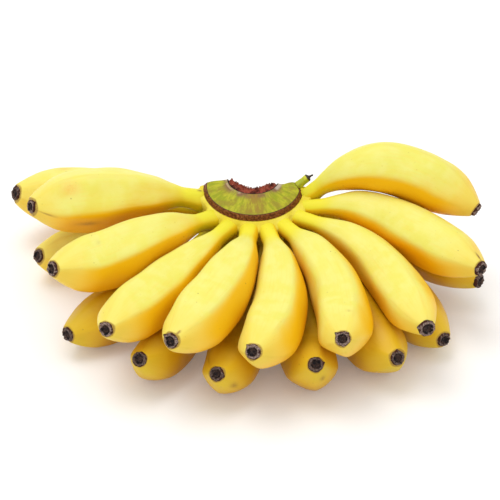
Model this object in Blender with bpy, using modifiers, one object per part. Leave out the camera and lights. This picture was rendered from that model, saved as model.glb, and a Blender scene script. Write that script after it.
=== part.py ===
"""A hand of eighteen small bananas in two rows, fanned out from one green crown.

The hand lies on its lower row. Every banana is a loft along a curved spine, with the
five soft ridges of the fruit. Where two bananas press on each other, or on the table,
their sides are flattened to the shared face, as on the real fruit.
"""
from collections import namedtuple
from math import cos, radians, sin

import bmesh
import bpy
import numpy as np
from mathutils import Vector

# Units: sizes below are in millimetres, angles in degrees
MM = 0.001

# Rows of bananas on the crown. The crown's centre stands over the frame's origin until
# the whole hand is centred at the end. Fan angles are measured round the crown from
# straight ahead (-Y), positive to the right (+X).
CROWN_CENTRE = np.array([0.0, -3.0, 0.0])
ROOT_RADIUS = {"upper": 31.0, "lower": 29.0}
ROW_HEIGHT = {"upper": 50.0, "lower": 38.0}
CROWN_RISE = 4.0          # how far the crown's ends stand higher than its front
ROOT_DEPTH = 3.0          # length of neck sunk into the crown
SETTLE = 1.2              # how far the hand's weight presses the lower row down
TABLE_BAND = 1.2          # skin this near the table is flattened onto it
FRUIT_GAP = 0.8           # clearance where two bananas press on each other
SOCKET_GAP = 0.35         # clearance round a neck in the crown

# Each banana: fan and rise of its root, place of its tip, heading and rise of its tip,
# how strongly root and tip directions pull the spine, and its girth
Finger = namedtuple("Finger", "root_fan root_rise tip heading tip_rise pull girth")
FINGERS = {
    "upper_1": Finger(-80, 28, (-131, -23, 60), -55, 16, (0.30, 0.20), 1.09),
    "upper_2": Finger(-48, 15, (-113, -81, 58), -50, 20, (0.70, 0.55), 1.00),
    "upper_3": Finger(-26, 15, (-80, -127, 52), -25, 20, (0.35, 0.60), 0.95),
    "upper_4": Finger(-4, 15, (-44, -139, 54), -30, 20, (0.45, 0.30), 1.00),
    "upper_5": Finger(14, 10, (0, -145, 51), -20, 30, (0.50, 0.45), 0.95),
    "upper_6": Finger(32, 10, (48, -139, 55), -5, 35, (0.65, 0.50), 0.90),
    "upper_7": Finger(52, 10, (95, -121, 48), 15, 10, (0.45, 0.70), 0.85),
    "upper_8": Finger(66, 25, (129, -75, 54), 40, 5, (0.40, 0.80), 0.90),
    "upper_9": Finger(80, 55, (131, -28, 62), 55, -20, (0.50, 0.45), 0.95),
    "lower_1": Finger(-94, 10, (-147, 19, 40), -60, 25, (0.25, 0.50), 1.10),
    "lower_2": Finger(-72, 0, (-130, -23, 23), -50, 25, (0.40, 0.50), 1.00),
    "lower_3": Finger(-54, -35, (-106, -92, 19), -45, 10, (0.35, 0.35), 0.95),
    "lower_4": Finger(-28, 5, (-63, -126, 29), -25, 45, (0.35, 0.50), 0.85),
    "lower_5": Finger(-4, 0, (-20, -137, 28), -20, 40, (0.40, 0.50), 0.90),
    "lower_6": Finger(22, -10, (34, -134, 32), 5, 50, (0.45, 0.50), 0.90),
    "lower_7": Finger(46, -10, (80, -121, 26), 25, 30, (0.45, 0.40), 1.00),
    "lower_8": Finger(68, -10, (109, -93, 16), 30, 10, (0.50, 0.35), 0.95),
    "lower_9": Finger(92, -10, (134, -46, 22), 50, 5, (0.35, 0.30), 0.75),
}

# Half-width of a banana of girth 1 at shares of its length, from neck to tip
PROFILE = [
    (0.00, 5.2), (0.06, 5.8), (0.12, 5.6), (0.19, 7.3), (0.28, 10.8), (0.38, 13.6),
    (0.48, 15.7), (0.58, 17.0), (0.68, 17.6), (0.78, 16.8), (0.87, 14.2), (0.93, 10.8),
    (0.975, 7.6), (1.00, 5.6),
]
NECK_END = 0.12           # share of the length where the neck opens into the fruit
RIDGES = 5                # a banana's cross-section is a rounded pentagon
SIDES = 3 * RIDGES        # each ridge and two points between it and the next
RIDGE_ROLL = 40.0         # first ridge at the front, turned from the top to the left side
RIDGE_TURN = -0.55        # change of that angle per degree of the banana's fan angle
RIDGE_RELIEF = 0.10       # how far the sides fall in between two ridges
NECK_RELIEF = 0.04
RIDGE_SOFTNESS = 0.12     # rounding of a ridge's crest
SPINE_SAMPLES = 60

# Dried flower remnant, half-section from its hollow middle over the rim to its back
BLOSSOM_SECTION = [(0, 1.7), (2.4, 1.9), (3.2, 2.9), (4.3, 2.6), (4.9, 1.2), (4.6, 0), (0, 0)]
BLOSSOM_STEPS = 2 * RIDGES
BLOSSOM_GAP = 0.35        # clearance to the banana's tip

# Crown: its cross-section at the front as (radius, height), going round from underneath
CROWN_SECTION = [
    (22.0, 20.0), (27.0, 22.0), (30.2, 28.0), (31.2, 35.0), (30.8, 43.0), (32.2, 50.0),
    (32.6, 54.5), (31.8, 57.4), (30.4, 59.8), (28.6, 60.6), (22.5, 63.1), (16.0, 65.8),
    (14.6, 65.2), (9.5, 66.2), (8.5, 50.0), (10.0, 34.0), (15.0, 21.0),
]
CROWN_STEPS = 20
CROWN_ENDS = ((44.0, 101.0), (60.0, 89.0))     # heights and the fan angle of the ends there
CROWN_NOTCH = ((15.0, 72.0), (29.0, 89.0))     # the same at the right end's top, by radius
LIFT_RADII = (14.0, 30.0)                      # the crown's ends rise only outside its rim

# Undeveloped finger: a spur at the crown's right end, its base, tip and half-widths
SPUR_BASE = np.array([26.0, -3.5, 60.5])
SPUR_TIP = np.array([36.5, 0.0, 68.5])
SPUR_WIDTHS = [(0.0, 2.6), (0.35, 2.8), (0.65, 2.4), (0.85, 1.4), (1.0, 0.7)]
SPUR_SIDES = 8

Spine = namedtuple("Spine", "points radii tangents")


def clear_scene():
    for old in list(bpy.data.objects):
        bpy.data.objects.remove(old, do_unlink=True)


def new_collection(name):
    collection = bpy.data.collections.new(name)
    bpy.context.scene.collection.children.link(collection)
    return collection


def new_material(name, colour, roughness):
    """Plain Principled BSDF in one colour, not metallic."""
    material = bpy.data.materials.new(name)
    material.use_nodes = True
    shader = material.node_tree.nodes["Principled BSDF"]
    shader.inputs["Base Color"].default_value = (*colour, 1.0)
    shader.inputs["Roughness"].default_value = roughness
    shader.inputs["Metallic"].default_value = 0.0
    material.diffuse_color = (*colour, 1.0)
    return material


def direction(fan, rise):
    """Unit vector at a fan angle and a rise above the level, both in degrees."""
    fan, rise = radians(fan), radians(rise)
    return np.array([sin(fan) * cos(rise), -cos(fan) * cos(rise), sin(rise)])


def crown_lift(fan):
    """Height that the crown gains from its front to the given fan angle."""
    return CROWN_RISE * (1.0 - cos(radians(fan)))


def finger_spine(name):
    """Evenly spaced points down a banana's middle, from its sunk root to its tip."""
    finger = FINGERS[name]
    row = name.split("_")[0]
    root = CROWN_CENTRE + ROOT_RADIUS[row] * direction(finger.root_fan, 0)
    root[2] = ROW_HEIGHT[row] + crown_lift(finger.root_fan)
    tip = np.array(finger.tip, float)
    reach = np.linalg.norm(tip - root)
    root_way = direction(finger.root_fan, finger.root_rise)
    tip_way = direction(finger.heading, finger.tip_rise)
    handles = [root, root + reach * finger.pull[0] * root_way,
               tip - reach * finger.pull[1] * tip_way, tip]
    t = np.linspace(0.0, 1.0, SPINE_SAMPLES)[:, None]
    weights = [(1 - t) ** 3, 3 * t * (1 - t) ** 2, 3 * t ** 2 * (1 - t), t ** 3]
    curve = sum(weight * handle for weight, handle in zip(weights, handles))
    travelled = np.append(0.0, np.cumsum(np.linalg.norm(np.diff(curve, axis=0), axis=1)))
    share = travelled / travelled[-1]
    even = np.linspace(0.0, 1.0, SPINE_SAMPLES)
    points = np.stack([np.interp(even, share, curve[:, axis]) for axis in range(3)], 1)
    points = np.vstack([root - ROOT_DEPTH * root_way, points])
    points[:, 2] -= SETTLE
    stations = np.append(0.0, even)
    shares, widths = zip(*PROFILE)
    radii = finger.girth * np.interp(stations, shares, widths)
    tangents = np.gradient(points, axis=0)
    tangents[:2] = root_way
    tangents[-1] = tip_way
    tangents /= np.linalg.norm(tangents, axis=1)[:, None]
    return Spine(points, radii, tangents)


def at_share(spine, share):
    """Point, radius and tangent of a spine at a share of its length."""
    place = share * (SPINE_SAMPLES - 1) + 1.0
    index = np.arange(len(spine.points))
    point = np.array([np.interp(place, index, spine.points[:, axis]) for axis in range(3)])
    tangent = np.array([np.interp(place, index, spine.tangents[:, axis]) for axis in range(3)])
    radius = np.interp(place, index, spine.radii)
    return point, radius, tangent / np.linalg.norm(tangent)


def side_and_top(tangent):
    """The left side and the top of a cross-section whose spine runs along tangent."""
    left = np.cross([0.0, 0.0, 1.0], tangent)
    left /= np.linalg.norm(left)
    return left, np.cross(tangent, left)


def round_section(count):
    """Angles of a plain round section, starting at its top."""
    return np.radians(np.arange(count) * 360.0 / count), np.ones(count)


def ridged_section(share, fan):
    """Angles and relative radii of a banana's rounded pentagon at a share of its length."""
    relief = NECK_RELIEF if share <= NECK_END else RIDGE_RELIEF
    from_ridge = np.radians(np.arange(SIDES) * 360.0 / SIDES)
    wave = np.sqrt(np.sin(0.5 * RIDGES * from_ridge) ** 2 + RIDGE_SOFTNESS ** 2)
    radii = 1.0 + 0.5 * relief - relief * (wave - RIDGE_SOFTNESS)
    return from_ridge + radians(RIDGE_ROLL + RIDGE_TURN * fan), radii


def ring(point, radius, tangent, section):
    """Points of one cross-section round a spine."""
    angles, shape = section
    left, top = side_and_top(tangent)
    around = np.outer(np.cos(angles), top) + np.outer(np.sin(angles), left)
    return point + radius * shape[:, None] * around


def depth_outside(places, spine):
    """Distance of each place from a banana's round body, negative inside it."""
    apart = np.linalg.norm(places[:, None, :] - spine.points[None, :, :], axis=2)
    return (apart - spine.radii[None, :]).min(axis=1)


def press_together(name, rings, centres, spines):
    """Draw a banana's skin in to the face that it shares with each neighbour."""
    own = spines[name]
    middle = np.repeat(centres, SIDES, axis=0)
    outward = rings.reshape(-1, 3) - middle
    inside, outside = np.full(len(middle), 0.1), np.ones(len(middle))

    def is_free(share):
        places = middle + share[:, None] * outward
        room = np.full(len(middle), np.inf)
        for other, spine in spines.items():
            if other != name:
                room = np.minimum(room, depth_outside(places, spine))
        return room - depth_outside(places, own) >= FRUIT_GAP

    free = is_free(outside)
    for _ in range(12):
        halfway = 0.5 * (inside + outside)
        clear = is_free(halfway)
        inside = np.where(clear, halfway, inside)
        outside = np.where(clear, outside, halfway)
    share = np.where(free, 1.0, inside)
    places = middle + share[:, None] * outward
    places[:, 2] = np.where(places[:, 2] < TABLE_BAND, 0.0, places[:, 2])
    return places.reshape(rings.shape)


def loft(name, rings, origin, material, collection):
    """Closed mesh through a list of rings, with its object placed at origin."""
    mesh = bpy.data.meshes.new(name)
    shell = bmesh.new()
    rows = [[shell.verts.new(Vector((point - origin) * MM)) for point in row] for row in rings]
    count = len(rows[0])
    for near, far in zip(rows, rows[1:]):
        for k in range(count):
            after = (k + 1) % count
            shell.faces.new((near[k], near[after], far[after], far[k]))
    shell.faces.new(rows[0])
    shell.faces.new(rows[-1])
    bmesh.ops.recalc_face_normals(shell, faces=shell.faces)
    bmesh.ops.triangulate(shell, faces=shell.faces)
    shell.to_mesh(mesh)
    shell.free()
    mesh.shade_smooth()
    mesh.set_sharp_from_angle(angle=radians(50))
    mesh.materials.append(material)
    piece = bpy.data.objects.new(name, mesh)
    piece.location = Vector(origin * MM)
    collection.objects.link(piece)
    return piece


def make_finger(name, spines, material, collection):
    """One banana with its neck, origin at its root."""
    spine = spines[name]
    fan = FINGERS[name].root_fan
    rings = [ring(spine.points[0], spine.radii[0], spine.tangents[0], ridged_section(0.0, fan))]
    centres = [spine.points[0]]
    for share, _ in PROFILE:
        point, radius, tangent = at_share(spine, share)
        rings.append(ring(point, radius, tangent, ridged_section(share, fan)))
        centres.append(point)
    rings = press_together(name, np.array(rings), np.array(centres), spines)
    return loft("finger_" + name, rings, spine.points[1], material, collection)


def blossom_mesh(material):
    """Half-section of the dried flower remnant, which a Screw modifier turns."""
    mesh = bpy.data.meshes.new("blossom_section")
    section = bmesh.new()
    points = [section.verts.new((radius * MM, 0.0, height * MM))
              for radius, height in BLOSSOM_SECTION]
    for first, second in zip(points, points[1:]):
        section.edges.new((first, second))
    section.to_mesh(mesh)
    section.free()
    mesh.materials.append(material)
    return mesh


def make_blossom_end(name, spine, mesh, collection):
    """The dark ring on a banana's tip, facing the way that the tip points."""
    piece = bpy.data.objects.new("blossom_end_" + name, mesh)
    turn = piece.modifiers.new("Turn", "SCREW")
    turn.axis = "Z"
    turn.steps = BLOSSOM_STEPS
    turn.render_steps = BLOSSOM_STEPS
    turn.use_merge_vertices = True
    turn.merge_threshold = 0.00001
    facing = spine.tangents[-1]
    piece.location = Vector((spine.points[-1] + BLOSSOM_GAP * facing) * MM)
    piece.rotation_mode = "QUATERNION"
    piece.rotation_quaternion = Vector(facing).to_track_quat("Z", "Y")
    collection.objects.link(piece)
    return piece


def crown_ring(turn):
    """The crown's cross-section at a share of the turn, -1 at its left end, 1 at its right."""
    points = []
    for radius, height in CROWN_SECTION:
        end = np.interp(height, *zip(*CROWN_ENDS))
        if turn > 0 and height > CROWN_ENDS[1][0]:
            end = np.interp(radius, *zip(*CROWN_NOTCH))
        point = CROWN_CENTRE + radius * direction(turn * end, 0)
        raised = np.interp(radius, LIFT_RADII, (0.0, 1.0))
        point[2] = height + raised * crown_lift(turn * end) - SETTLE
        points.append(point)
    return np.array(points)


def make_crown(spines, cutters, material, collection):
    """Half-ring cushion with a socket for each neck and for the spur."""
    rings = [crown_ring(turn) for turn in np.linspace(-1.0, 1.0, CROWN_STEPS + 1)]
    crown = loft("crown", rings, CROWN_CENTRE, material, collection)
    sockets = crown.modifiers.new("Sockets", "BOOLEAN")
    sockets.operation = "DIFFERENCE"
    sockets.solver = "EXACT"
    sockets.operand_type = "COLLECTION"
    sockets.collection = cutters
    return crown


def make_socket_cutter(name, spine, cutters):
    """A neck's shape, a little larger, from behind its root to outside the crown."""
    rings = []
    start = spine.points[0] - SOCKET_GAP * spine.tangents[0]
    rings.append(ring(start, spine.radii[0] + 2 * SOCKET_GAP, spine.tangents[0],
                      round_section(SIDES)))
    for share in (0.0, 0.06, 0.12):
        point, radius, tangent = at_share(spine, share)
        rings.append(ring(point, radius + 2 * SOCKET_GAP, tangent, round_section(SIDES)))
    hide(loft("socket_" + name, rings, spine.points[1], None, cutters))


def spur_rings(growth):
    """Cross-sections of the undeveloped finger, each wider by growth."""
    along = SPUR_TIP - SPUR_BASE
    tangent = along / np.linalg.norm(along)
    rings = []
    for share, width in SPUR_WIDTHS:
        point = SPUR_BASE + share * along - np.array([0.0, 0.0, SETTLE])
        rings.append(ring(point, width + growth, tangent, round_section(SPUR_SIDES)))
    rings[0] = rings[0] - growth * tangent
    return rings


def hide(cutter):
    cutter.hide_render = True
    cutter.display_type = "WIRE"


def centre_hand(hand, pieces):
    """Put the frame's origin at the bottom centre of the hand's box."""
    bpy.context.view_layer.update()
    depsgraph = bpy.context.evaluated_depsgraph_get()
    corners = []
    for piece in pieces:
        shown = piece.evaluated_get(depsgraph)
        corners += [shown.matrix_world @ vertex.co for vertex in shown.data.vertices]
    lowest = [min(corner[axis] for corner in corners) for axis in range(3)]
    highest = [max(corner[axis] for corner in corners) for axis in range(3)]
    hand.location = (-0.5 * (lowest[0] + highest[0]), -0.5 * (lowest[1] + highest[1]), -lowest[2])
    bpy.context.view_layer.update()


def build():
    clear_scene()
    parts = new_collection("banana_hand")
    cutters = new_collection("cutters")
    peel = {"upper": new_material("peel_upper", (0.90, 0.68, 0.05), 0.45),
            "lower": new_material("peel_lower", (0.82, 0.56, 0.04), 0.45)}
    dried = new_material("dried_flower", (0.07, 0.04, 0.03), 0.85)
    green = new_material("crown_green", (0.42, 0.45, 0.06), 0.50)

    hand = bpy.data.objects.new("hand", None)
    parts.objects.link(hand)
    spines = {name: finger_spine(name) for name in FINGERS}
    section = blossom_mesh(dried)
    pieces = []
    for name, spine in spines.items():
        row = name.split("_")[0]
        pieces.append(make_finger(name, spines, peel[row], parts))
        pieces.append(make_blossom_end(name, spine, section, parts))
        make_socket_cutter(name, spine, cutters)
    hide(loft("socket_spur", spur_rings(SOCKET_GAP), SPUR_BASE, None, cutters))
    pieces.append(make_crown(spines, cutters, green, parts))
    pieces.append(loft("undeveloped_finger", spur_rings(0.0), SPUR_BASE, green, parts))
    for piece in pieces + list(cutters.objects):
        piece.parent = hand
    centre_hand(hand, pieces)


build()
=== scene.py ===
"""Dressed model of the banana hand: eighteen bananas, their blossom ends, crown and spur.

Each piece repeats the rule that shaped its solid, with far more points, and adds the soft
ridges, knuckles, scar, cut face and markings. Sizes are in millimetres, angles in degrees.
"""
from collections import namedtuple
from math import cos, radians, sin

import bpy
import numpy as np
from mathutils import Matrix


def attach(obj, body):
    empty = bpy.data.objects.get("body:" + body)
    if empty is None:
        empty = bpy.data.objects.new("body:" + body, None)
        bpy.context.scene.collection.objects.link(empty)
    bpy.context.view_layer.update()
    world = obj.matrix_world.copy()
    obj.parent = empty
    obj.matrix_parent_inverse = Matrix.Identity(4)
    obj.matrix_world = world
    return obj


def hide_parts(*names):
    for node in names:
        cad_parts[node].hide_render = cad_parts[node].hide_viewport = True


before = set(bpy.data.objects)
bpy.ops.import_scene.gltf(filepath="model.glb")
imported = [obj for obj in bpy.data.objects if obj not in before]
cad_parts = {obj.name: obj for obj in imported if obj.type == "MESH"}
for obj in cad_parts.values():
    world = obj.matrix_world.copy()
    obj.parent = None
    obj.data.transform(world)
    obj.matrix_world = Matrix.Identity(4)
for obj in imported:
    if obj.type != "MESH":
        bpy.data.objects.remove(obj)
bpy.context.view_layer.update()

MM = 0.001
SETTLE = 1.2              # how far the hand's weight presses the lower row down
HAND = np.array([6.482, 51.98, -SETTLE])  # the hand's own origin in the part's frame
CROWN_CENTRE = np.array([0.0, -3.0, 0.0])
ROOT_RADIUS = {"upper": 31.0, "lower": 29.0}
ROW_HEIGHT = {"upper": 50.0, "lower": 38.0}
CROWN_RISE = 4.0          # how far the crown's ends stand higher than its front
ROOT_DEPTH = 3.0          # length of neck sunk into the crown
TOUCH_GAP = 0.35          # clearance left where two bananas press on each other
NEIGHBOUR_REACH = 3.0     # bananas further apart than this can't press on each other

# Each banana: fan and rise of its root, place of its tip, heading and rise of its tip,
# how strongly root and tip directions pull the spine, and its girth
Finger = namedtuple("Finger", "root_fan root_rise tip heading tip_rise pull girth")
FINGERS = {
    "upper_1": Finger(-80, 28, (-131, -23, 60), -55, 16, (0.30, 0.20), 1.09),
    "upper_2": Finger(-48, 15, (-113, -81, 58), -50, 20, (0.70, 0.55), 1.00),
    "upper_3": Finger(-26, 15, (-80, -127, 52), -25, 20, (0.35, 0.60), 0.95),
    "upper_4": Finger(-4, 15, (-44, -139, 54), -30, 20, (0.45, 0.30), 1.00),
    "upper_5": Finger(14, 10, (0, -145, 51), -20, 30, (0.50, 0.45), 0.95),
    "upper_6": Finger(32, 10, (48, -139, 55), -5, 35, (0.65, 0.50), 0.90),
    "upper_7": Finger(52, 10, (95, -121, 48), 15, 10, (0.45, 0.70), 0.85),
    "upper_8": Finger(66, 25, (129, -75, 54), 40, 5, (0.40, 0.80), 0.90),
    "upper_9": Finger(80, 55, (131, -28, 62), 55, -20, (0.50, 0.45), 0.95),
    "lower_1": Finger(-94, 10, (-147, 19, 40), -60, 25, (0.25, 0.50), 1.10),
    "lower_2": Finger(-72, 0, (-130, -23, 23), -50, 25, (0.40, 0.50), 1.00),
    "lower_3": Finger(-54, -35, (-106, -92, 19), -45, 10, (0.35, 0.35), 0.95),
    "lower_4": Finger(-28, 5, (-63, -126, 29), -25, 45, (0.35, 0.50), 0.85),
    "lower_5": Finger(-4, 0, (-20, -137, 28), -20, 40, (0.40, 0.50), 0.90),
    "lower_6": Finger(22, -10, (34, -134, 32), 5, 50, (0.45, 0.50), 0.90),
    "lower_7": Finger(46, -10, (80, -121, 26), 25, 30, (0.45, 0.40), 1.00),
    "lower_8": Finger(68, -10, (109, -93, 16), 30, 10, (0.50, 0.35), 0.95),
    "lower_9": Finger(92, -10, (134, -46, 22), 50, 5, (0.35, 0.30), 0.75),
}
# Half-width of a banana of girth 1 at shares of its length, from neck to tip
PROFILE = [
    (0.00, 5.2), (0.06, 5.8), (0.12, 5.6), (0.19, 7.3), (0.28, 10.8), (0.38, 13.6),
    (0.48, 15.7), (0.58, 17.0), (0.68, 17.6), (0.78, 16.8), (0.87, 14.2), (0.93, 10.8),
    (0.975, 7.6), (1.00, 5.6),
]
RIDGES = 5                # a banana's cross-section is a rounded pentagon
RIDGE_ROLL = 40.0         # first ridge at the front, turned from the top to the left side
RIDGE_TURN = -0.55        # change of that angle per degree of the banana's fan angle
RIDGE_SOFTNESS = 0.14     # rounding of a ridge's crest
NECK_RELIEF = 0.035       # how far the sides of the neck fall in between two ridges
BODY_RELIEF = 0.09        # what the body of the fruit adds to that
WOBBLE = 0.22             # unevenness of the body in mm
ROOT_SWELL = 0.9          # thickening of the neck where it leaves the crown
SPINE_SAMPLES = 81
CURVE_SAMPLES = 400
RINGS = 100
SIDES = 70
PEEL_RADIUS = 15.0        # radius of the straight tube that the peel's patterns are laid on

Spine = namedtuple("Spine", "points radii tangents length")


def direction(fan, rise):
    fan, rise = radians(fan), radians(rise)
    return np.array([sin(fan) * cos(rise), -cos(fan) * cos(rise), sin(rise)])


def monotone(x, xs, ys):
    """Smooth curve through the points xs, ys that doesn't overshoot them."""
    xs, ys = np.asarray(xs, float), np.asarray(ys, float)
    step = np.diff(xs)
    slope = np.diff(ys) / step
    tangent = np.zeros(len(xs))
    both = slope[:-1] * slope[1:] > 0
    w1 = 2 * step[1:] + step[:-1]
    w2 = step[1:] + 2 * step[:-1]
    with np.errstate(divide="ignore", invalid="ignore"):
        mean = (w1 + w2) / (w1 / slope[:-1] + w2 / slope[1:])
    tangent[1:-1] = np.where(both, mean, 0.0)
    tangent[0], tangent[-1] = slope[0], slope[-1]
    x = np.clip(x, xs[0], xs[-1])
    i = np.clip(np.searchsorted(xs, x, side="right") - 1, 0, len(xs) - 2)
    h = step[i]
    t = (x - xs[i]) / h
    return ((2 * t ** 3 - 3 * t ** 2 + 1) * ys[i] + (t ** 3 - 2 * t ** 2 + t) * h * tangent[i]
            + (3 * t ** 2 - 2 * t ** 3) * ys[i + 1] + (t ** 3 - t ** 2) * h * tangent[i + 1])


def smoothstep(low, high, value):
    t = np.clip((value - low) / (high - low), 0.0, 1.0)
    return t * t * (3 - 2 * t)


def run_along(path):
    """Length from the start of a path to each of its points."""
    return np.append(0.0, np.cumsum(np.linalg.norm(np.diff(path, axis=0), axis=1)))


def finger_spine(name):
    """Evenly spaced points down a banana's middle, in the part's frame."""
    finger = FINGERS[name]
    row = name.split("_")[0]
    root = CROWN_CENTRE + ROOT_RADIUS[row] * direction(finger.root_fan, 0)
    root[2] = ROW_HEIGHT[row] + CROWN_RISE * (1.0 - cos(radians(finger.root_fan)))
    tip = np.array(finger.tip, float)
    reach = np.linalg.norm(tip - root)
    root_way = direction(finger.root_fan, finger.root_rise)
    tip_way = direction(finger.heading, finger.tip_rise)
    a, b = root + reach * finger.pull[0] * root_way, tip - reach * finger.pull[1] * tip_way
    t = np.linspace(0.0, 1.0, CURVE_SAMPLES)[:, None]
    curve = ((1 - t) ** 3 * root + 3 * t * (1 - t) ** 2 * a
             + 3 * t ** 2 * (1 - t) * b + t ** 3 * tip)
    run = run_along(curve)
    even = np.linspace(0.0, 1.0, SPINE_SAMPLES)
    points = HAND + np.stack([np.interp(even * run[-1], run, curve[:, k]) for k in range(3)], 1)
    tangents = np.gradient(points, axis=0)
    tangents[0], tangents[-1] = root_way, tip_way
    tangents /= np.linalg.norm(tangents, axis=1)[:, None]
    radii = finger.girth * monotone(even, *zip(*PROFILE))
    return Spine(points, radii, tangents, run[-1])


def read_spine(spine, shares):
    """Points, radii and tangents at shares of the length, straight on beyond its ends."""
    even = np.linspace(0.0, 1.0, SPINE_SAMPLES)
    points = np.stack([np.interp(shares, even, spine.points[:, k]) for k in range(3)], 1)
    tangents = np.stack([np.interp(shares, even, spine.tangents[:, k]) for k in range(3)], 1)
    tangents /= np.linalg.norm(tangents, axis=1)[:, None]
    behind = np.minimum(shares, 0.0)[:, None] * spine.length
    beyond = np.maximum(shares - 1.0, 0.0)[:, None] * spine.length
    return points + (behind + beyond) * tangents, np.interp(shares, even, spine.radii), tangents


def sections(centres, radii, tangents, angles, shape):
    """Rings of points: angles run from the top of the section towards its left side."""
    left = np.cross([0.0, 0.0, 1.0], tangents)
    left /= np.linalg.norm(left, axis=1)[:, None]
    top = np.cross(tangents, left)
    around = (np.cos(angles)[None, :, None] * top[:, None, :]
              + np.sin(angles)[None, :, None] * left[:, None, :])
    return centres[:, None, :] + (radii[:, None] * shape)[:, :, None] * around


def blur(field, passes):
    """Average over neighbours, wrapping round the ring and not along the length."""
    for _ in range(passes):
        field = 0.5 * field + 0.25 * (np.roll(field, 1, 1) + np.roll(field, -1, 1))
        padded = np.vstack([field[:1], field, field[-1:]])
        field = 0.5 * field + 0.25 * (padded[:-2] + padded[2:])
    return field


def room_to(spine, places):
    """Distance from each place to a banana's surface, without its ridges."""
    room = np.full(len(places), np.inf)
    for point, radius in zip(spine.points, spine.radii):
        room = np.minimum(room, np.sqrt(((places - point) ** 2).sum(1)) - radius)
    return room


def pressed(name, rings, centres, spines):
    """Share of its free radius that each point keeps where it meets a neighbour."""
    own = spines[name]
    middle = np.repeat(centres, rings.shape[1], axis=0)
    outward = rings.reshape(-1, 3) - middle
    near = []
    for other, spine in spines.items():
        gap = np.linalg.norm(own.points[:, None] - spine.points[None], axis=2)
        gap -= own.radii[:, None] + spine.radii[None]
        if other != name and gap.min() < NEIGHBOUR_REACH:
            near.append(spine)

    def is_free(share):
        places = middle + share[:, None] * outward
        room = np.full(len(middle), np.inf)
        for spine in near:
            room = np.minimum(room, room_to(spine, places))
        return room - room_to(own, places) >= TOUCH_GAP

    inside, outside = np.full(len(middle), 0.1), np.ones(len(middle))
    free = is_free(outside)
    for _ in range(9):    # halves the range nine times, to a few hundredths of a millimetre
        halfway = 0.5 * (inside + outside)
        clear = is_free(halfway)
        inside = np.where(clear, halfway, inside)
        outside = np.where(clear, outside, halfway)
    share = np.where(free, 1.0, inside).reshape(rings.shape[:2])
    for _ in range(4):
        share = np.minimum(share, blur(share, 4))
    return share


def add_to_scene(name, data):
    holder = bpy.data.objects.new(name, data)
    bpy.context.scene.collection.objects.link(holder)
    return holder


def mesh_object(name, points, faces, material, floats, vectors):
    """Smooth piece from points in mm, with one number or vector a point for the material."""
    mesh = bpy.data.meshes.new(name)
    mesh.from_pydata((points * MM).tolist(), [], faces)
    mesh.materials.append(material)
    for key, values in floats.items():
        mesh.attributes.new(key, "FLOAT", "POINT").data.foreach_set("value", np.ravel(values))
    for key, values in vectors.items():
        data = mesh.attributes.new(key, "FLOAT_VECTOR", "POINT").data
        data.foreach_set("vector", np.ravel(values))
    mesh.shade_smooth()
    mesh.update()
    piece = add_to_scene(name, mesh)
    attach(piece, "root")
    return piece


def tube_faces(rings, sides):
    """Quads between rings, with a fan to a centre point at each end."""
    k = np.arange(sides)
    faces = []
    for row in range(rings - 1):
        a = row * sides + k
        b = row * sides + (k + 1) % sides
        faces += np.stack([a, b, b + sides, a + sides], 1).tolist()
    first, last = rings * sides, rings * sides + 1
    top = (rings - 1) * sides
    faces += [(int((j + 1) % sides), int(j), first) for j in k]
    faces += [(int(top + j), int(top + (j + 1) % sides), last) for j in k]
    return faces


def around_shape(angles, shares, fan, seed):
    """Relative radius of the rounded pentagon and how near each point is to a ridge."""
    from_ridge = angles - radians(RIDGE_ROLL + RIDGE_TURN * fan)
    wave = np.hypot(np.sin(0.5 * RIDGES * from_ridge), RIDGE_SOFTNESS) - RIDGE_SOFTNESS
    rounding = 1.0 - 0.6 * smoothstep(0.75, 1.0, shares)
    relief = NECK_RELIEF + BODY_RELIEF * smoothstep(0.10, 0.32, shares) * rounding
    unequal = 1.0 + 0.25 * np.cos(from_ridge + 6.3 * seed)
    shape = 1.0 + relief[:, None] * (0.5 - wave[None, :] * unequal[None, :])
    crest = np.exp(-(wave / 0.10) ** 2)
    return shape, np.broadcast_to(crest[None, :], shape.shape)


# Marks on the peel: banana, share of its length, angle round it from the top to the left,
# length and width in mm, strength. Warm ones are faint orange bruises, dark ones brown scuffs
# and cracks.
WARM = [
    ("upper_1", 0.775, 31, 7.0, 4.5, 0.55), ("lower_1", 0.77, -30, 5.0, 3.0, 0.50),
    ("upper_8", 0.94, 30, 4.0, 3.0, 0.40), ("upper_9", 0.90, 42, 9.0, 3.0, 0.45),
]
DARK = [
    ("upper_1", 0.690, 106, 6.5, 2.0, 0.60), ("upper_1", 0.945, 88, 5.5, 0.4, 0.75),
    ("upper_4", 0.995, 27, 1.2, 0.6, 1.3), ("upper_8", 0.985, 12, 2.2, 0.7, 1.4),
    ("upper_9", 0.938, 44, 1.8, 0.6, 1.3), ("upper_9", 0.900, -136, 1.8, 0.9, 1.2),
    ("upper_2", 0.750, 15, 2.0, 1.6, 0.20), ("upper_8", 0.960, 72, 7.0, 0.6, 0.5),
    ("lower_5", 0.935, 120, 2.2, 1.8, 0.7), ("lower_6", 0.955, 150, 1.6, 1.6, 0.7),
    ("lower_5", 0.90, -60, 6.0, 0.6, 0.6), ("upper_6", 0.86, 10, 1.0, 1.0, 0.4),
    ("upper_1", 0.045, 0, 1.0, 0.8, 1.3),
]

# Fuller necks that close the view between bananas: half-width added and where along them
NECK_SWELL = {
    "lower_3": (1.6, 0.17), "lower_5": (2.0, 0.17), "lower_6": (3.5, 0.20),
    "lower_7": (2.0, 0.17), "upper_5": (0.5, 0.29), "upper_6": (1.1, 0.24),
    "upper_8": (1.4, 0.36), "upper_9": (1.2, 0.44),
}

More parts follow.
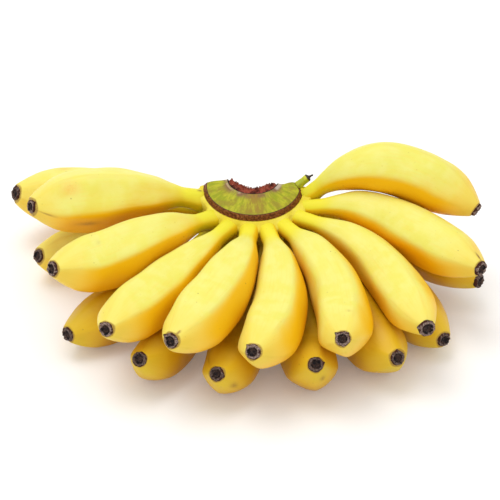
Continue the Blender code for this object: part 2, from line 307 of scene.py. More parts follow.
# Way that the painted light falls from, and how green each neck still is
LIT_SIDE = np.array([-0.36, -0.10, 0.93])
GREENNESS = {
    "upper_1": 0.8, "upper_2": 0.8, "upper_3": 0.6, "upper_4": 0.2, "upper_5": 0.2,
    "upper_6": 0.3, "upper_7": 0.4, "upper_8": 0.5, "upper_9": 0.7, "lower_1": 0.6,
    "lower_2": 0.8, "lower_3": 0.8, "lower_4": 0.8, "lower_5": 0.6, "lower_6": 0.6,
    "lower_7": 0.6, "lower_8": 0.6, "lower_9": 0.6,
}


def outward_normals(rings, centres):
    """Unit normals of a grid of points, pointing away from the spine."""
    around = np.roll(rings, -1, 1) - np.roll(rings, 1, 1)
    along = np.gradient(rings, axis=0)
    normal = np.cross(around, along)
    normal /= np.linalg.norm(normal, axis=2)[:, :, None] + 1e-9
    away = np.sum(normal * (rings - centres[:, None, :]), axis=2)
    return normal * np.where(away < 0.0, -1.0, 1.0)[:, :, None]


def angles_round(count):
    """Evenly spaced angles round a section."""
    return np.linspace(0.0, 2 * np.pi, count, endpoint=False)


def turn_from(angles, degrees):
    """Angles measured from a mark, between minus and plus half a turn."""
    return (angles - radians(degrees) + np.pi) % (2 * np.pi) - np.pi


def finger_rings(name, spines, shares, angles, seed):
    """Skin of a banana: ridged, uneven, pressed by its neighbours and by the table."""
    spine = spines[name]
    centres, radii, tangents = read_spine(spine, shares)
    radii[-2:] = radii[-3] * np.array([0.86, 0.60])
    shape, crest = around_shape(angles, shares, FINGERS[name].root_fan, seed)
    swell = ROOT_SWELL * np.exp(-((shares * spine.length - 2.0) / 3.5) ** 2)
    amount, middle = NECK_SWELL.get(name, (0.0, 0.0))
    swell += amount * np.exp(-((shares - middle) / 0.10) ** 2)
    out = sections(centres, radii + swell, tangents, angles, shape) - centres[:, None, :]
    wobble = WOBBLE * (np.sin(15.3 * shares[:, None] + 2 * angles[None, :] + 9 * seed)
                       + np.sin(22.0 * shares[:, None] - 3 * angles[None, :] + 5 * seed))
    wobble *= smoothstep(0.2, 0.4, shares)[:, None]
    out *= 1.0 + (wobble / radii[:, None])[:, :, None]
    share_kept = pressed(name, centres[:, None, :] + out, centres, spines)
    rings = centres[:, None, :] + share_kept[:, :, None] * out
    low = rings[:, :, 2]
    rings[:, :, 2] = np.maximum(0.0, 0.5 * (low + np.sqrt(low ** 2 + 0.6)) - 0.06)
    return rings, centres, radii, crest


def make_finger(name, spines, material):
    length = spines[name].length
    seed = sum(ord(letter) for letter in name) % 17 / 17.0
    shares = np.concatenate([[-ROOT_DEPTH / length], np.linspace(0.0, 1.0, RINGS - 3),
                             [1.0 + 0.7 / length, 1.0 + 1.0 / length]])
    angles = angles_round(SIDES)
    rings, centres, radii, crest = finger_rings(name, spines, shares, angles, seed)
    points = np.vstack([rings.reshape(-1, 3), centres[0], centres[-1]])
    share_map = np.broadcast_to(shares[:, None], crest.shape)
    # Painted light and shade: how far each point faces the light; pale there, deeper colour as
    # shade away from it
    lit_and_pale = outward_normals(rings, centres) @ LIT_SIDE
    neck = 1.0 - smoothstep(0.08, 0.30, share_map)
    tip = smoothstep(0.90, 1.0, share_map)
    # Green of neck and tip is the peel's own, laid on more thickly on the side turned from the
    # light as painted shade
    turned_from_light = 1.0 - smoothstep(-0.5, 0.6, lit_and_pale)
    green = GREENNESS[name] * neck * (0.25 + 0.75 * turned_from_light) + tip * (0.05 + 0.20 * turned_from_light)

    def spread(values, first=0.0, last=0.0):
        return np.append(values.ravel(), [first, last])

    def marked(marks):
        total = np.zeros(share_map.shape)
        for owner, along, angle, size, width, strength in marks:
            if owner == name:
                away = np.hypot((share_map - along) * length / size,
                                turn_from(angles, angle)[None, :] * radii[:, None] / width)
                total = np.maximum(total, strength * np.exp(-away ** 2))
        return total

    floats = {
        "share": spread(share_map, 0.0, 1.0),
        "crest": spread(crest),
        "lit_and_pale": spread(lit_and_pale),
        "green": spread(green, 0.5, 0.3),
        "warm": spread(marked(WARM)),
        "dark": spread(marked(DARK)),
    }
    x, y = PEEL_RADIUS * np.cos(angles), PEEL_RADIUS * np.sin(angles)
    peel = np.stack(np.broadcast_arrays(x, y, share_map * length), 2).reshape(-1, 3)
    peel = np.vstack([peel, [0, 0, 0], [0, 0, length]]) + 100.0 * seed
    piece = mesh_object("banana_" + name, points, tube_faces(len(shares), SIDES), material,
                        floats, {"peel": peel})
    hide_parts("finger_" + name)


def noise_table(seed, count, waves):
    """Seeded wavy values round a circle of count points, between about -1 and 1."""
    rng = np.random.default_rng(seed)
    total = np.zeros(count)
    for wave in waves:
        total += rng.uniform(0.4, 1.0) * np.cos(wave * angles_round(count) + rng.uniform(0, 6.28))
    return total / len(waves)


# Dried flower remnant: radius and height down its section, from its back to its middle
BLOSSOM = [(3.0, -0.8), (4.4, -0.5), (4.85, 0.2), (5.0, 0.9), (4.85, 1.5), (4.55, 2.0),
           (4.2, 2.4), (3.8, 2.5), (3.4, 2.3), (3.1, 1.8), (2.85, 1.3), (2.55, 1.3), (2.2, 1.7),
           (1.8, 1.9), (1.4, 1.6), (1.0, 1.8), (0.5, 1.9)]
BLOSSOM_SIDES = 60
BLOSSOM_SIZES = {"upper_1": 0.80, "upper_7": 0.96, "upper_8": 0.90}
USUAL_BLOSSOM_SIZE = 0.85
# Pointed leftovers of the flower: banana, angle round the ring, how far they stand out
POINTS = [
    ("upper_1", 215, 1.3), ("upper_1", 30, 1.4), ("upper_3", 300, 0.9), ("upper_4", 290, 1.2),
    ("upper_5", 305, 1.3), ("upper_6", 305, 1.4), ("upper_6", 40, 0.8), ("upper_7", 285, 1.3),
    ("upper_8", 130, 0.9), ("upper_9", 170, 1.3), ("lower_3", 290, 0.8), ("lower_5", 95, 0.9),
    ("lower_6", 80, 1.1), ("lower_8", 60, 0.9), ("lower_1", 320, 0.7), ("lower_7", 10, 0.6),
]


def make_blossom(name, spine, index, material):
    """Five-cornered dark crust on the tip: a pale ragged ring round a hollow dark core."""
    rim = noise_table(40 + index, BLOSSOM_SIDES, (5, 5, 7, 11))
    ragged = noise_table(80 + index, BLOSSOM_SIDES, (9, 13, 17, 23))
    crust = noise_table(120 + index, BLOSSOM_SIDES, (3, 4, 7, 8))
    facing = spine.tangents[-1]
    tip = spine.points[-1]
    angles = angles_round(BLOSSOM_SIDES)
    left = np.cross([0.0, 0.0, 1.0], facing)
    left /= np.linalg.norm(left)
    top = np.cross(facing, left)
    size = BLOSSOM_SIZES.get(name, USUAL_BLOSSOM_SIZE) + 0.025 * np.sin(2.3 * index)
    spikes = np.zeros(BLOSSOM_SIDES)
    for owner, angle, reach in POINTS:
        if owner == name:
            spikes += reach * np.exp(-(turn_from(angles, angle) / 0.17) ** 2)
    rings = []
    for radius, height in BLOSSOM:
        edge = smoothstep(2.2, 4.4, radius)
        reach = size * radius * (1.0 + 0.08 * rim * edge + 0.035 * ragged)
        reach = reach + spikes * smoothstep(4.3, 4.9, radius) * smoothstep(-0.6, 0.6, height)
        lift = height + (0.40 * ragged + 0.30 * rim) * smoothstep(0.9, 2.4, height) * edge
        lift = lift + 0.45 * crust * (1 - edge) * np.cos(radius * 2.0 + index)
        rings.append(tip + reach[:, None] * (np.outer(np.cos(angles), top)
                                             + np.outer(np.sin(angles), left))
                     + lift[:, None] * facing)
    points = np.vstack([np.concatenate(rings), tip - 0.8 * facing, tip + 1.9 * facing])
    radius = np.repeat([r for r, _ in BLOSSOM], BLOSSOM_SIDES)
    floats = {"radius": np.append(radius, [0.0, 0.0]),
              # Remnants on the upper row get a paler ring than those on the lower row
              "lit_and_pale": np.full(len(points), 1.0 if name.startswith("upper") else 0.35)}
    piece = mesh_object("blossom_" + name, points, tube_faces(len(BLOSSOM), BLOSSOM_SIDES),
                        material, floats, {})
    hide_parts("blossom_end_" + name)


# Crown, going round its section at the front as (radius, height, zone): 0 collar, 1 scar,
# 2 green top, 3 rim, 4 cut face, 5 inside. The zone runs evenly from one point to the next.
INSIDE = 5
CROWN_SECTION = [
    (17.0, 20.0, 5), (22.0, 20.2, 0), (26.5, 21.8, 0), (29.8, 27.5, 0), (31.0, 34.5, 0),
    (30.6, 41.0, 0), (30.8, 45.0, 0), (31.4, 49.0, 0), (32.2, 52.5, 0), (32.2, 55.0, 0),
    (31.5, 56.6, 0), (31.1, 57.0, 0),
    (31.3, 57.2, 1), (30.8, 58.4, 1), (29.9, 59.7, 1), (29.2, 60.0, 2), (28.2, 60.5, 2),
    (25.2, 61.8, 2), (21.3, 63.5, 2), (17.5, 65.1, 2), (15.9, 65.8, 2), (15.5, 66.0, 3),
    (15.0, 65.7, 3), (14.6, 65.2, 4), (12.0, 65.5, 4), (9.6, 66.3, 4), (9.0, 66.0, 4),
    (8.6, 60.0, 5), (8.6, 50.0, 5), (10.0, 34.0, 5), (13.0, 20.8, 5),
]
CROWN_STEPS = 150         # points round the section, besides those in the list
CROWN_TURNS = 260         # sections from one end of the crown to the other
CROWN_ENDS = ((44.0, 101.0), (60.0, 89.0))    # height, and the fan angle where it ends
CROWN_NOTCH = ((15.0, 72.0), (29.0, 89.0))    # radius, and where the top's right end stops
NECK_SHARES = np.array([-0.025, -0.012, 0.0, 0.012, 0.024, 0.036, 0.05, 0.065, 0.08, 0.1])
NECK_SINK = 0.25          # how far a neck stands proud of the collar's skin
KNUCKLE = 4.0             # width of the soft join between a neck and the crown
KNUCKLE_STEP = 0.2
KNUCKLE_REACH = 4.6
END_CAP = 0.95            # size of the ring that keeps each end face one colour


def crown_section():
    """Radius, height and zone of the points round the section, and their outward way."""
    section = np.array(CROWN_SECTION)
    run = run_along(section[:, :2])
    fine = np.unique(np.concatenate([run, np.linspace(0, run[-1], CROWN_STEPS)]))
    radius, height, zone = [np.interp(fine, run, column) for column in section.T]
    across = np.gradient(np.stack([radius, height], 1), axis=0)
    across /= np.linalg.norm(across, axis=1)[:, None]
    return radius, height, zone, np.stack([across[:, 1], -across[:, 0]], 1)


def knuckle_growth(points, ways, spines):
    """How far each point of the collar moves out to meet the necks."""
    necks = [read_spine(spine, NECK_SHARES)[:2] for spine in spines.values()]
    grown = np.zeros(len(points))
    going = np.ones(len(points), bool)
    for step in np.arange(0.0, KNUCKLE_REACH, KNUCKLE_STEP):
        places = points + step * ways
        field = np.full(len(points), step)
        for centres, radii in necks:
            away = np.min([np.sqrt(((places - centre) ** 2).sum(1)) - radius + NECK_SINK
                           for centre, radius in zip(centres, radii)], axis=0)
            mix = np.maximum(KNUCKLE - np.abs(field - away), 0.0) / KNUCKLE
            field = np.minimum(field, away) - mix ** 2 * KNUCKLE * 0.25
        going &= field < 0.0
        grown[going] = step + KNUCKLE_STEP
    return grown


def make_crown(spines, material):
    radius, height, zone, normal = crown_section()
    turns = np.linspace(-1.0, 1.0, CROWN_TURNS)
    end = np.interp(height, *zip(*CROWN_ENDS))
    notch = np.interp(radius, *zip(*CROWN_NOTCH)) - end
    notch *= np.clip((height - 50.0) / 10.0, 0.0, 1.0)
    fan = np.radians(turns[:, None] * (end[None, :] + (turns > 0)[:, None] * notch[None, :]))
    # the top's outer edge is drawn in towards the ends, and the inner wall closes there
    outer_top = smoothstep(16, 28, radius) * smoothstep(55.5, 58, height)
    drawn_in = 1.8 * np.abs(turns) ** 4 + 3.0 * smoothstep(0.8, 1.0, turns)
    r = radius[None, :] - drawn_in[:, None] * outer_top[None, :]
    closing = 0.62 * np.abs(turns)[:, None] ** 3
    r = np.where(zone[None, :] >= 3.9, r + closing * (15.0 - r), r)
    z = height[None, :] + CROWN_RISE * (1 - np.cos(fan)) * smoothstep(14, 30, radius)[None, :]
    brow = smoothstep(20, 29, radius) * smoothstep(58.0, 59.5, height)
    z += 0.8 * np.cos(fan) * brow[None, :]
    # torn fibres on the cut face, a ragged rim and a grainy bract scar
    rng = np.random.default_rng(5)
    jag = np.interp(turns, np.linspace(-1, 1, 90), rng.uniform(-1, 1, 90))
    comb = np.interp(turns, np.linspace(-1, 1, 230), rng.uniform(-1, 1, 230))
    lump = rng.uniform(-1, 1, fan.shape)
    lump = 0.5 * lump + 0.25 * (np.roll(lump, 1, 0) + np.roll(lump, -1, 0))
    torn = smoothstep(3.2, 3.9, zone) * (1 - smoothstep(4.2, 4.8, zone))
    far = np.exp(-((radius - 9.3) / 1.3) ** 2) * torn
    rim = np.exp(-((zone - 3.0) / 0.35) ** 2)
    scar = np.clip(1 - np.abs(zone - 1.0), 0, 1)
    z += torn[None, :] * (0.5 * lump) + far[None, :] * (0.9 * jag + 0.7 * comb)[:, None]
    z += rim[None, :] * (0.25 * comb)[:, None]
    r += scar[None, :] * 0.12 * lump
    out = np.stack([np.sin(fan), -np.cos(fan), np.zeros_like(fan)], 2)
    points = CROWN_CENTRE + HAND + r[:, :, None] * out
    points[:, :, 2] += z
    ways = normal[None, :, 0, None] * out
    ways[:, :, 2] += normal[None, :, 1]
    collar = (zone < 0.9) & (height > 20.5)
    growth = np.zeros(fan.shape)
    growth[:, collar] = knuckle_growth(points[:, collar].reshape(-1, 3),
                                       ways[:, collar].reshape(-1, 3),
                                       spines).reshape(len(turns), -1)
    growth = blur(growth.T, 1).T
    growth *= (smoothstep(57.1, 56.0, height) * smoothstep(21.0, 24.0, height))[None, :]
    points += growth[:, :, None] * ways
    first, last = points[0].mean(0), points[-1].mean(0)
    points = np.concatenate([[first + END_CAP * (points[0] - first)], points,
                             [last + END_CAP * (points[-1] - last)]])
    r, z, fan = [np.pad(grid, ((1, 1), (0, 0)), "edge") for grid in (r, z, np.degrees(fan))]
    zones = np.broadcast_to(zone[None, :], fan.shape).copy()
    zones[[0, -1]] = INSIDE
    streak = np.stack([0.5 * fan, r, z], 2).reshape(-1, 3)
    floats = {
        "zone": np.append(zones.ravel(), [INSIDE, INSIDE]),
        "radius": np.append(r.ravel(), [10.0, 10.0]),
        "fan": np.append(fan.ravel(), [0.0, 0.0]),
    }
    piece = mesh_object("crown_flesh", np.vstack([points.reshape(-1, 3), first, last]),
                        tube_faces(len(points), len(radius)), material, floats,
                        {"streak": np.vstack([streak, np.zeros((2, 3))])})
    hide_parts("crown")


# Undeveloped finger: its two ends in the hand's frame, and half-width at shares of its length
SPUR_BASE = np.array([26.0, -3.5, 60.5])
SPUR_TIP = np.array([33.5, -1.0, 66.2])
SPUR_WIDTHS = [(-0.10, 2.7), (0.1, 2.8), (0.35, 2.6), (0.6, 2.4), (0.85, 2.5), (0.94, 2.45),
               (0.97, 2.3), (1.0, 1.5), (1.04, 0.8), (1.12, 0.6), (1.20, 0.55), (1.23, 0.3)]
SPUR_SIDES = 30
SPUR_STEPS = 60
DRY_TIP = 0.97            # share where the dry tip starts and bends away
DRY_TIP_BEND = (3.5, 1.0, -1.0)


def make_spur(material):
    along = SPUR_TIP - SPUR_BASE
    tangent = along / np.linalg.norm(along)
    shares = np.array([share for share, _ in SPUR_WIDTHS])
    fine = np.unique(np.concatenate([shares, np.linspace(shares[0], shares[-1], SPUR_STEPS)]))
    centres = SPUR_BASE + HAND + fine[:, None] * along
    centres += np.outer(np.maximum(fine - DRY_TIP, 0.0), DRY_TIP_BEND)
    angles = angles_round(SPUR_SIDES)
    corner = 1.0 - 0.10 * np.abs(np.sin(2.5 * (angles - 0.4)))
    shape = np.where(fine[:, None] < 0.99, corner[None, :], 1.0)
    rings = sections(centres, monotone(fine, *zip(*SPUR_WIDTHS)),
                     np.repeat(tangent[None], len(fine), 0), angles, shape)
    points = np.vstack([rings.reshape(-1, 3), centres[0], centres[-1]])
    floats = {"share": np.append(np.repeat(fine, SPUR_SIDES), [shares[0], shares[-1]])}
    piece = mesh_object("spur", points, tube_faces(len(fine), SPUR_SIDES), material, floats, {})
    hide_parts("undeveloped_finger")


class Tree:
    """A material's node tree, with short calls for the nodes that the materials share."""

    def __init__(self, name, roughness, specular):
        self.material = bpy.data.materials.new(name)
        self.material.use_nodes = True
        self.nodes = self.material.node_tree.nodes
        self.links = self.material.node_tree.links
        self.shader = self.nodes["Principled BSDF"]
        self.shader.inputs["Roughness"].default_value = roughness
        self.shader.inputs["Specular IOR Level"].default_value = specular

    def add(self, kind, **settings):
        node = self.nodes.new(kind)
        for key, value in settings.items():
            setattr(node, key, value)
        return node

    def wire(self, source, target):
        self.links.new(source, target)

    def number(self, name):
        return self.add("ShaderNodeAttribute", attribute_name=name).outputs["Fac"]

    def vector(self, name):
        return self.add("ShaderNodeAttribute", attribute_name=name).outputs["Vector"]

    def position(self):
        return self.add("ShaderNodeTexCoord").outputs["Object"]

    def scaled(self, vector, scale):
        node = self.add("ShaderNodeMapping")
        node.inputs["Scale"].default_value = scale
        self.wire(vector, node.inputs["Vector"])
        return node.outputs["Vector"]

    def noise(self, vector, scale, detail, rough=0.5):
        node = self.add("ShaderNodeTexNoise")
        node.inputs["Scale"].default_value = scale
        node.inputs["Detail"].default_value = detail
        node.inputs["Roughness"].default_value = rough
        self.wire(vector, node.inputs["Vector"])
        return node.outputs["Fac"]

    def feed(self, socket, value):
        if isinstance(value, (int, float)):
            socket.default_value = value
        elif isinstance(value, tuple):
            socket.default_value = (*value, 1.0)
        else:
            self.wire(value, socket)

    def math(self, operation, first, second):
        node = self.add("ShaderNodeMath", operation=operation)
        self.feed(node.inputs[0], first)
        self.feed(node.inputs[1], second)
        return node.outputs["Value"]

    def times(self, first, *others):
        for other in others:
            first = self.math("MULTIPLY", first, other)
        return first

    def ramp(self, value, low, high, out_low=0.0, out_high=1.0):
        """Smooth rise from out_low to out_high as the value goes from low to high."""
        node = self.add("ShaderNodeMapRange", interpolation_type="SMOOTHSTEP")
        node.inputs["From Min"].default_value = low
        node.inputs["From Max"].default_value = high
        node.inputs["To Min"].default_value = out_low
        node.inputs["To Max"].default_value = out_high
        self.wire(value, node.inputs["Value"])
        return node.outputs["Result"]

    def mix(self, factor, first, second):
        node = self.add("ShaderNodeMix", data_type="RGBA")
        self.feed(node.inputs[0], factor)
        self.feed(node.inputs[6], first)     # 6, 7 and output 2 are the colour sockets
        self.feed(node.inputs[7], second)
        return node.outputs[2]

    def bump(self, height, distance, strength, after=None):
        node = self.add("ShaderNodeBump")
        node.inputs["Distance"].default_value = distance
        node.inputs["Strength"].default_value = strength
        self.wire(height, node.inputs["Height"])
        if after is not None:
            self.wire(after, node.inputs["Normal"])
        return node.outputs["Normal"]

    def finish(self, colour, normal=None, roughness=None):
        self.wire(colour, self.shader.inputs["Base Color"])
        if normal is not None:
            self.wire(normal, self.shader.inputs["Normal"])
        if roughness is not None:
            self.wire(roughness, self.shader.inputs["Roughness"])
        return self.material


# Peel colours: light and butter where it faces the light, deep and amber painted as shade
# on the other sides, then neck and tip. The lower row's darker golden copy is painted shade.
Peel = namedtuple("Peel", "light butter deep amber neck tip")
LEMON_LIT = Peel((0.80, 0.745, 0.13), (0.82, 0.775, 0.19), (0.92, 0.51, 0.003),
             (0.80, 0.36, 0.001), (0.86, 0.77, 0.035), (0.90, 0.69, 0.11))
GOLDEN_SHADED = Peel((0.60, 0.35, 0.003), (0.64, 0.39, 0.006), (0.66, 0.34, 0.001),
              (0.50, 0.22, 0.001), (0.60, 0.48, 0.01), (0.80, 0.56, 0.030))
LIME = (0.48, 0.52, 0.010)
RIDGE_WEAR = (0.66, 0.42, 0.02)
BRUISE = (0.86, 0.42, 0.05)
FLECK = (0.20, 0.10, 0.03)
PORE = (0.45, 0.28, 0.04)
SCUFF = (0.26, 0.10, 0.012)
DRY_EDGE = (0.36, 0.20, 0.03)


def peel_material(name, shades):
    """Peel painted from light over deep to amber as shade turned from the light; paler at its
    tip.
    """
    tree = Tree(name, 0.42, 0.28)
    peel = tree.vector("peel")
    share = tree.number("share")
    broad = tree.noise(peel, 0.035, 2.0)
    cloud = tree.noise(peel, 0.12, 4.0)
    fibre = tree.noise(tree.scaled(peel, (1.0, 1.0, 0.07)), 0.9, 4.0, 0.6)
    grain = tree.noise(peel, 1.6, 3.0)
    colour = tree.mix(tree.ramp(cloud, 0.35, 0.65), shades.light, shades.butter)
    colour = tree.mix(tree.ramp(share, 0.24, 0.10), colour, shades.neck)
    # Painted light and shade: the side facing the light keeps light and butter, the sides turned
    # away are painted deep, then amber
    side = tree.math("ADD", tree.number("lit_and_pale"), tree.times(broad, 0.24))
    colour = tree.mix(tree.ramp(side, 0.86, 0.22), colour, shades.deep)
    colour = tree.mix(tree.ramp(side, 0.15, -0.45, 0.0, 0.75), colour, shades.amber)
    colour = tree.mix(tree.ramp(share, 0.80, 0.96, 0.0, 0.6), colour, shades.tip)
    colour = tree.mix(tree.ramp(fibre, 0.45, 0.75, 0.0, 0.14), colour, shades.deep)
    wear = tree.times(tree.number("crest"), tree.ramp(share, 0.15, 0.5, 0.06, 0.22),
                      tree.ramp(cloud, 0.36, 0.62))
    colour = tree.mix(wear, colour, RIDGE_WEAR)
    patch = tree.times(tree.number("green"), tree.ramp(cloud, 0.20, 0.70, 0.65, 1.15))
    colour = tree.mix(patch, colour, LIME)
    warm = tree.times(tree.number("warm"), tree.ramp(grain, 0.2, 0.8, 0.6, 1.2))
    colour = tree.mix(warm, colour, BRUISE)
    flecks = tree.add("ShaderNodeTexVoronoi")
    flecks.inputs["Scale"].default_value = 0.16
    tree.wire(peel, flecks.inputs["Vector"])
    fleck = tree.times(tree.ramp(flecks.outputs["Distance"], 0.085, 0.035),
                       tree.ramp(tree.noise(peel, 0.06, 1.0), 0.52, 0.62, 0.0, 0.6))
    colour = tree.mix(fleck, colour, FLECK)
    pores = tree.ramp(tree.noise(peel, 0.75, 2.0), 0.70, 0.78, 0.0, 0.35)
    colour = tree.mix(pores, colour, PORE)
    dark = tree.times(tree.number("dark"), tree.ramp(grain, 0.25, 0.7, 0.6, 1.1))
    colour = tree.mix(tree.math("MINIMUM", dark, 1.0), colour, SCUFF)
    dry = tree.times(tree.ramp(share, 1.0, 1.006), tree.ramp(grain, 0.3, 0.6, 0.5, 1.0))
    colour = tree.mix(dry, colour, DRY_EDGE)
    normal = tree.bump(fibre, 0.00018, 0.5)
    normal = tree.bump(grain, 0.00008, 0.5, normal)
    return tree.finish(colour, normal, tree.ramp(cloud, 0.3, 0.7, 0.38, 0.52))


def blossom_material():
    """Dark crust with a paler ring, by the radius from the middle of the remnant in mm."""
    tree = Tree("dried_blossom", 0.85, 0.12)
    place = tree.position()
    coarse = tree.noise(place, 420.0, 4.0, 0.6)
    fine = tree.noise(place, 1500.0, 4.0, 0.7)
    wander = tree.math("ADD", tree.number("radius"), tree.ramp(coarse, 0.3, 0.7, -0.75, 0.75))
    core = tree.mix(tree.ramp(coarse, 0.38, 0.62), (0.010, 0.008, 0.010), (0.060, 0.034, 0.026))
    core = tree.mix(tree.ramp(fine, 0.56, 0.70, 0.0, 0.7), core, (0.20, 0.165, 0.15))
    ring = tree.mix(tree.ramp(fine, 0.36, 0.62), (0.11, 0.058, 0.042), (0.38, 0.28, 0.235))
    ring = tree.mix(tree.ramp(coarse, 0.56, 0.68, 0.0, 0.85), ring, (0.05, 0.026, 0.020))
    paleness = tree.math("ADD", tree.times(tree.number("lit_and_pale"), 0.8), 0.15)
    band = tree.times(tree.ramp(wander, 2.9, 3.4), tree.ramp(wander, 4.7, 4.25), paleness)
    colour = tree.mix(band, core, ring)
    colour = tree.mix(tree.ramp(wander, 4.5, 4.85), colour, (0.060, 0.022, 0.016))
    normal = tree.bump(coarse, 0.0006, 0.8)
    normal = tree.bump(fine, 0.0003, 0.8, normal)
    return tree.finish(colour, normal, tree.ramp(coarse, 0.3, 0.7, 0.7, 0.95))


def crown_top(tree, radius, rays, mottle):
    """Green skin: browner by the rim and in the middle, with two patches of dry skin."""
    fan = tree.number("fan")
    top = tree.mix(tree.ramp(rays, 0.36, 0.62), (0.46, 0.44, 0.020), (0.29, 0.32, 0.008))
    top = tree.mix(tree.ramp(mottle, 0.45, 0.62, 0.0, 0.75), top, (0.30, 0.23, 0.020))
    blush = tree.times(tree.ramp(radius, 20.5, 16.5), tree.ramp(mottle, 0.34, 0.58, 0.25, 1.0))
    top = tree.mix(blush, top, (0.22, 0.11, 0.055))
    middle = tree.times(tree.ramp(fan, -22.0, 0.0), tree.ramp(fan, 24.0, 6.0),
                        tree.ramp(rays, 0.40, 0.58, 0.25, 0.85), tree.ramp(radius, 30.5, 27.0))
    top = tree.mix(middle, top, (0.33, 0.20, 0.025))
    strip = tree.times(tree.ramp(fan, -24.0, -34.0), tree.ramp(radius, 17.4, 16.6),
                       tree.ramp(mottle, 0.44, 0.58, 0.1, 0.7))
    top = tree.mix(strip, top, (0.55, 0.42, 0.24))
    corner = tree.times(tree.ramp(fan, 50.0, 57.0), tree.ramp(radius, 18.5, 17.0), 0.8)
    return tree.mix(corner, top, (0.52, 0.44, 0.36))


def crown_material():
    """Skin, scar, rim, cut face and inner wall, by the zone of the crown's section."""
    tree = Tree("crown_skin", 0.55, 0.18)
    place = tree.position()
    zone = tree.number("zone")
    rays = tree.noise(tree.scaled(tree.vector("streak"), (1.0, 0.30, 0.30)), 0.55, 4.0, 0.6)
    mottle = tree.noise(place, 160.0, 5.0, 0.6)
    coarse = tree.noise(place, 60.0, 3.0)
    fine = tree.noise(place, 900.0, 4.0, 0.65)
    collar = tree.mix(tree.ramp(coarse, 0.35, 0.65), (0.84, 0.72, 0.08), (0.78, 0.62, 0.035))
    scar = tree.mix(tree.ramp(fine, 0.35, 0.65), (0.080, 0.018, 0.002), (0.26, 0.085, 0.016))
    scar = tree.mix(tree.ramp(fine, 0.60, 0.72, 0.0, 0.6), scar, (0.50, 0.24, 0.11))
    cut = tree.mix(tree.ramp(mottle, 0.38, 0.60), (0.060, 0.010, 0.006), (0.32, 0.065, 0.035))
    cut = tree.mix(tree.ramp(fine, 0.56, 0.70, 0.0, 0.8), cut, (0.52, 0.22, 0.14))
    inside = tree.mix(tree.ramp(coarse, 0.35, 0.65), (0.60, 0.56, 0.12), (0.42, 0.40, 0.08))
    top = crown_top(tree, tree.number("radius"), rays, mottle)
    colour = tree.mix(tree.ramp(zone, 0.40, 0.65), collar, scar)
    edge = tree.times(tree.ramp(zone, 1.02, 1.35), tree.ramp(zone, 1.85, 1.5))
    colour = tree.mix(edge, colour, (0.05, 0.02, 0.01))
    colour = tree.mix(tree.ramp(zone, 1.55, 1.75), colour, top)
    colour = tree.mix(tree.ramp(zone, 2.25, 2.55), colour, (0.012, 0.008, 0.006))
    colour = tree.mix(tree.ramp(zone, 3.15, 3.5), colour, cut)
    colour = tree.mix(tree.ramp(zone, 4.3, 4.8), colour, inside)
    dry = tree.times(tree.ramp(zone, 2.6, 3.6), tree.ramp(zone, 5.0, 4.6))
    normal = tree.bump(fine, 0.0006, 0.5)
    normal = tree.bump(rays, 0.0004, 0.4, normal)
    return tree.finish(colour, normal, tree.ramp(dry, 0.0, 1.0, 0.5, 0.9))


def spur_material():
    tree = Tree("spur_skin", 0.5, 0.35)
    coarse = tree.noise(tree.position(), 300.0, 3.0)
    edge = tree.math("ADD", tree.number("share"), tree.times(coarse, 0.12))
    colour = tree.mix(tree.ramp(coarse, 0.35, 0.65), (0.60, 0.58, 0.03), (0.38, 0.42, 0.015))
    colour = tree.mix(tree.ramp(edge, 0.90, 0.96), colour, (0.035, 0.022, 0.014))
    return tree.finish(colour, tree.bump(coarse, 0.0004, 0.4))


WHITE = (1.0, 1.0, 1.0, 1.0)
FLOOR_HALF = 3.0
FLOOR_GLOW = 0.09
WORLD_LIGHT = 0.85
# Round lamps that face the origin: name, place, size, power
LAMPS = [("key", (-0.6, 0.25, 2.3), 1.4, 16.0), ("top", (0.1, 0.1, 2.6), 2.0, 10.0)]
CAMERA_PLACE = (0.004482, -0.73972, 0.6055)
CAMERA_TILT = 53.0
CAMERA_LENS = 114.0


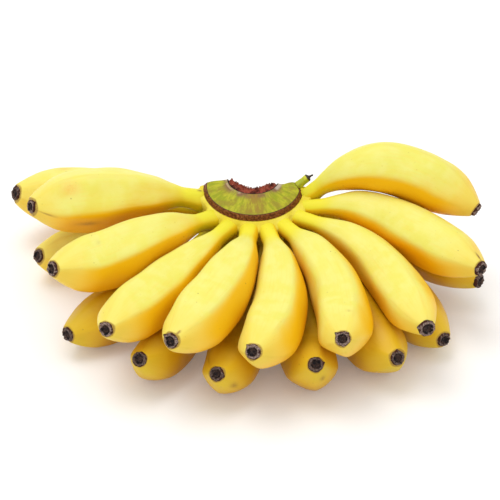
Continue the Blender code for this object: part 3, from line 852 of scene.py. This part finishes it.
def make_floor():
    mesh = bpy.data.meshes.new("floor")
    corners = [(-FLOOR_HALF, -FLOOR_HALF, 0), (FLOOR_HALF, -FLOOR_HALF, 0),
               (FLOOR_HALF, FLOOR_HALF, 0), (-FLOOR_HALF, FLOOR_HALF, 0)]
    mesh.from_pydata(corners, [], [(0, 1, 2, 3)])
    tree = Tree("floor_paper", 0.9, 0.1)
    shade = tree.ramp(tree.noise(tree.position(), 3.0, 2.0), 0.3, 0.7)
    tree.shader.inputs["Emission Color"].default_value = WHITE
    tree.shader.inputs["Emission Strength"].default_value = FLOOR_GLOW
    colour = tree.mix(shade, (0.87, 0.87, 0.87), (0.89, 0.89, 0.89))
    mesh.materials.append(tree.finish(colour))
    add_to_scene("floor", mesh)


def add_light(name, place, size, power):
    lamp = bpy.data.lights.new(name, "AREA")
    lamp.shape = "DISK"
    lamp.size = size
    lamp.energy = power
    holder = add_to_scene(name, lamp)
    holder.location = place
    x, y, z = place
    holder.rotation_euler = (np.arctan2(np.hypot(x, y), z), 0.0, np.arctan2(x, -y))


def make_stage():
    make_floor()
    scene = bpy.context.scene
    scene.world = bpy.data.worlds.new("studio")
    scene.world.use_nodes = True
    background = scene.world.node_tree.nodes["Background"]
    background.inputs["Color"].default_value = WHITE
    background.inputs["Strength"].default_value = WORLD_LIGHT
    for lamp in LAMPS:
        add_light(*lamp)
    camera = bpy.data.cameras.new("camera")
    camera.lens = CAMERA_LENS
    camera.sensor_width = 36.0
    camera.clip_end = 20.0
    scene.camera = add_to_scene("camera", camera)
    scene.camera.location = CAMERA_PLACE
    scene.camera.rotation_euler = (radians(CAMERA_TILT), 0.0, 0.0)
    scene.view_settings.view_transform = "Standard"


spines = {name: finger_spine(name) for name in FINGERS}
# Lit copy of the peel, and a darker, more golden copy painted as the shade that the upper row
# casts on the lower row; lower_1 and lower_2 stand clear and take the lit one
lit_peel = peel_material("peel_upper_lit_skin", LEMON_LIT)
shaded_peel = peel_material("peel_lower_shaded_skin", GOLDEN_SHADED)
dried = blossom_material()
for index, (name, spine) in enumerate(spines.items()):
    shaded = name.startswith("lower") and name not in ("lower_1", "lower_2")
    make_finger(name, spines, shaded_peel if shaded else lit_peel)
    make_blossom(name, spine, index, dried)
make_crown(spines, crown_material())
make_spur(spur_material())
make_stage()
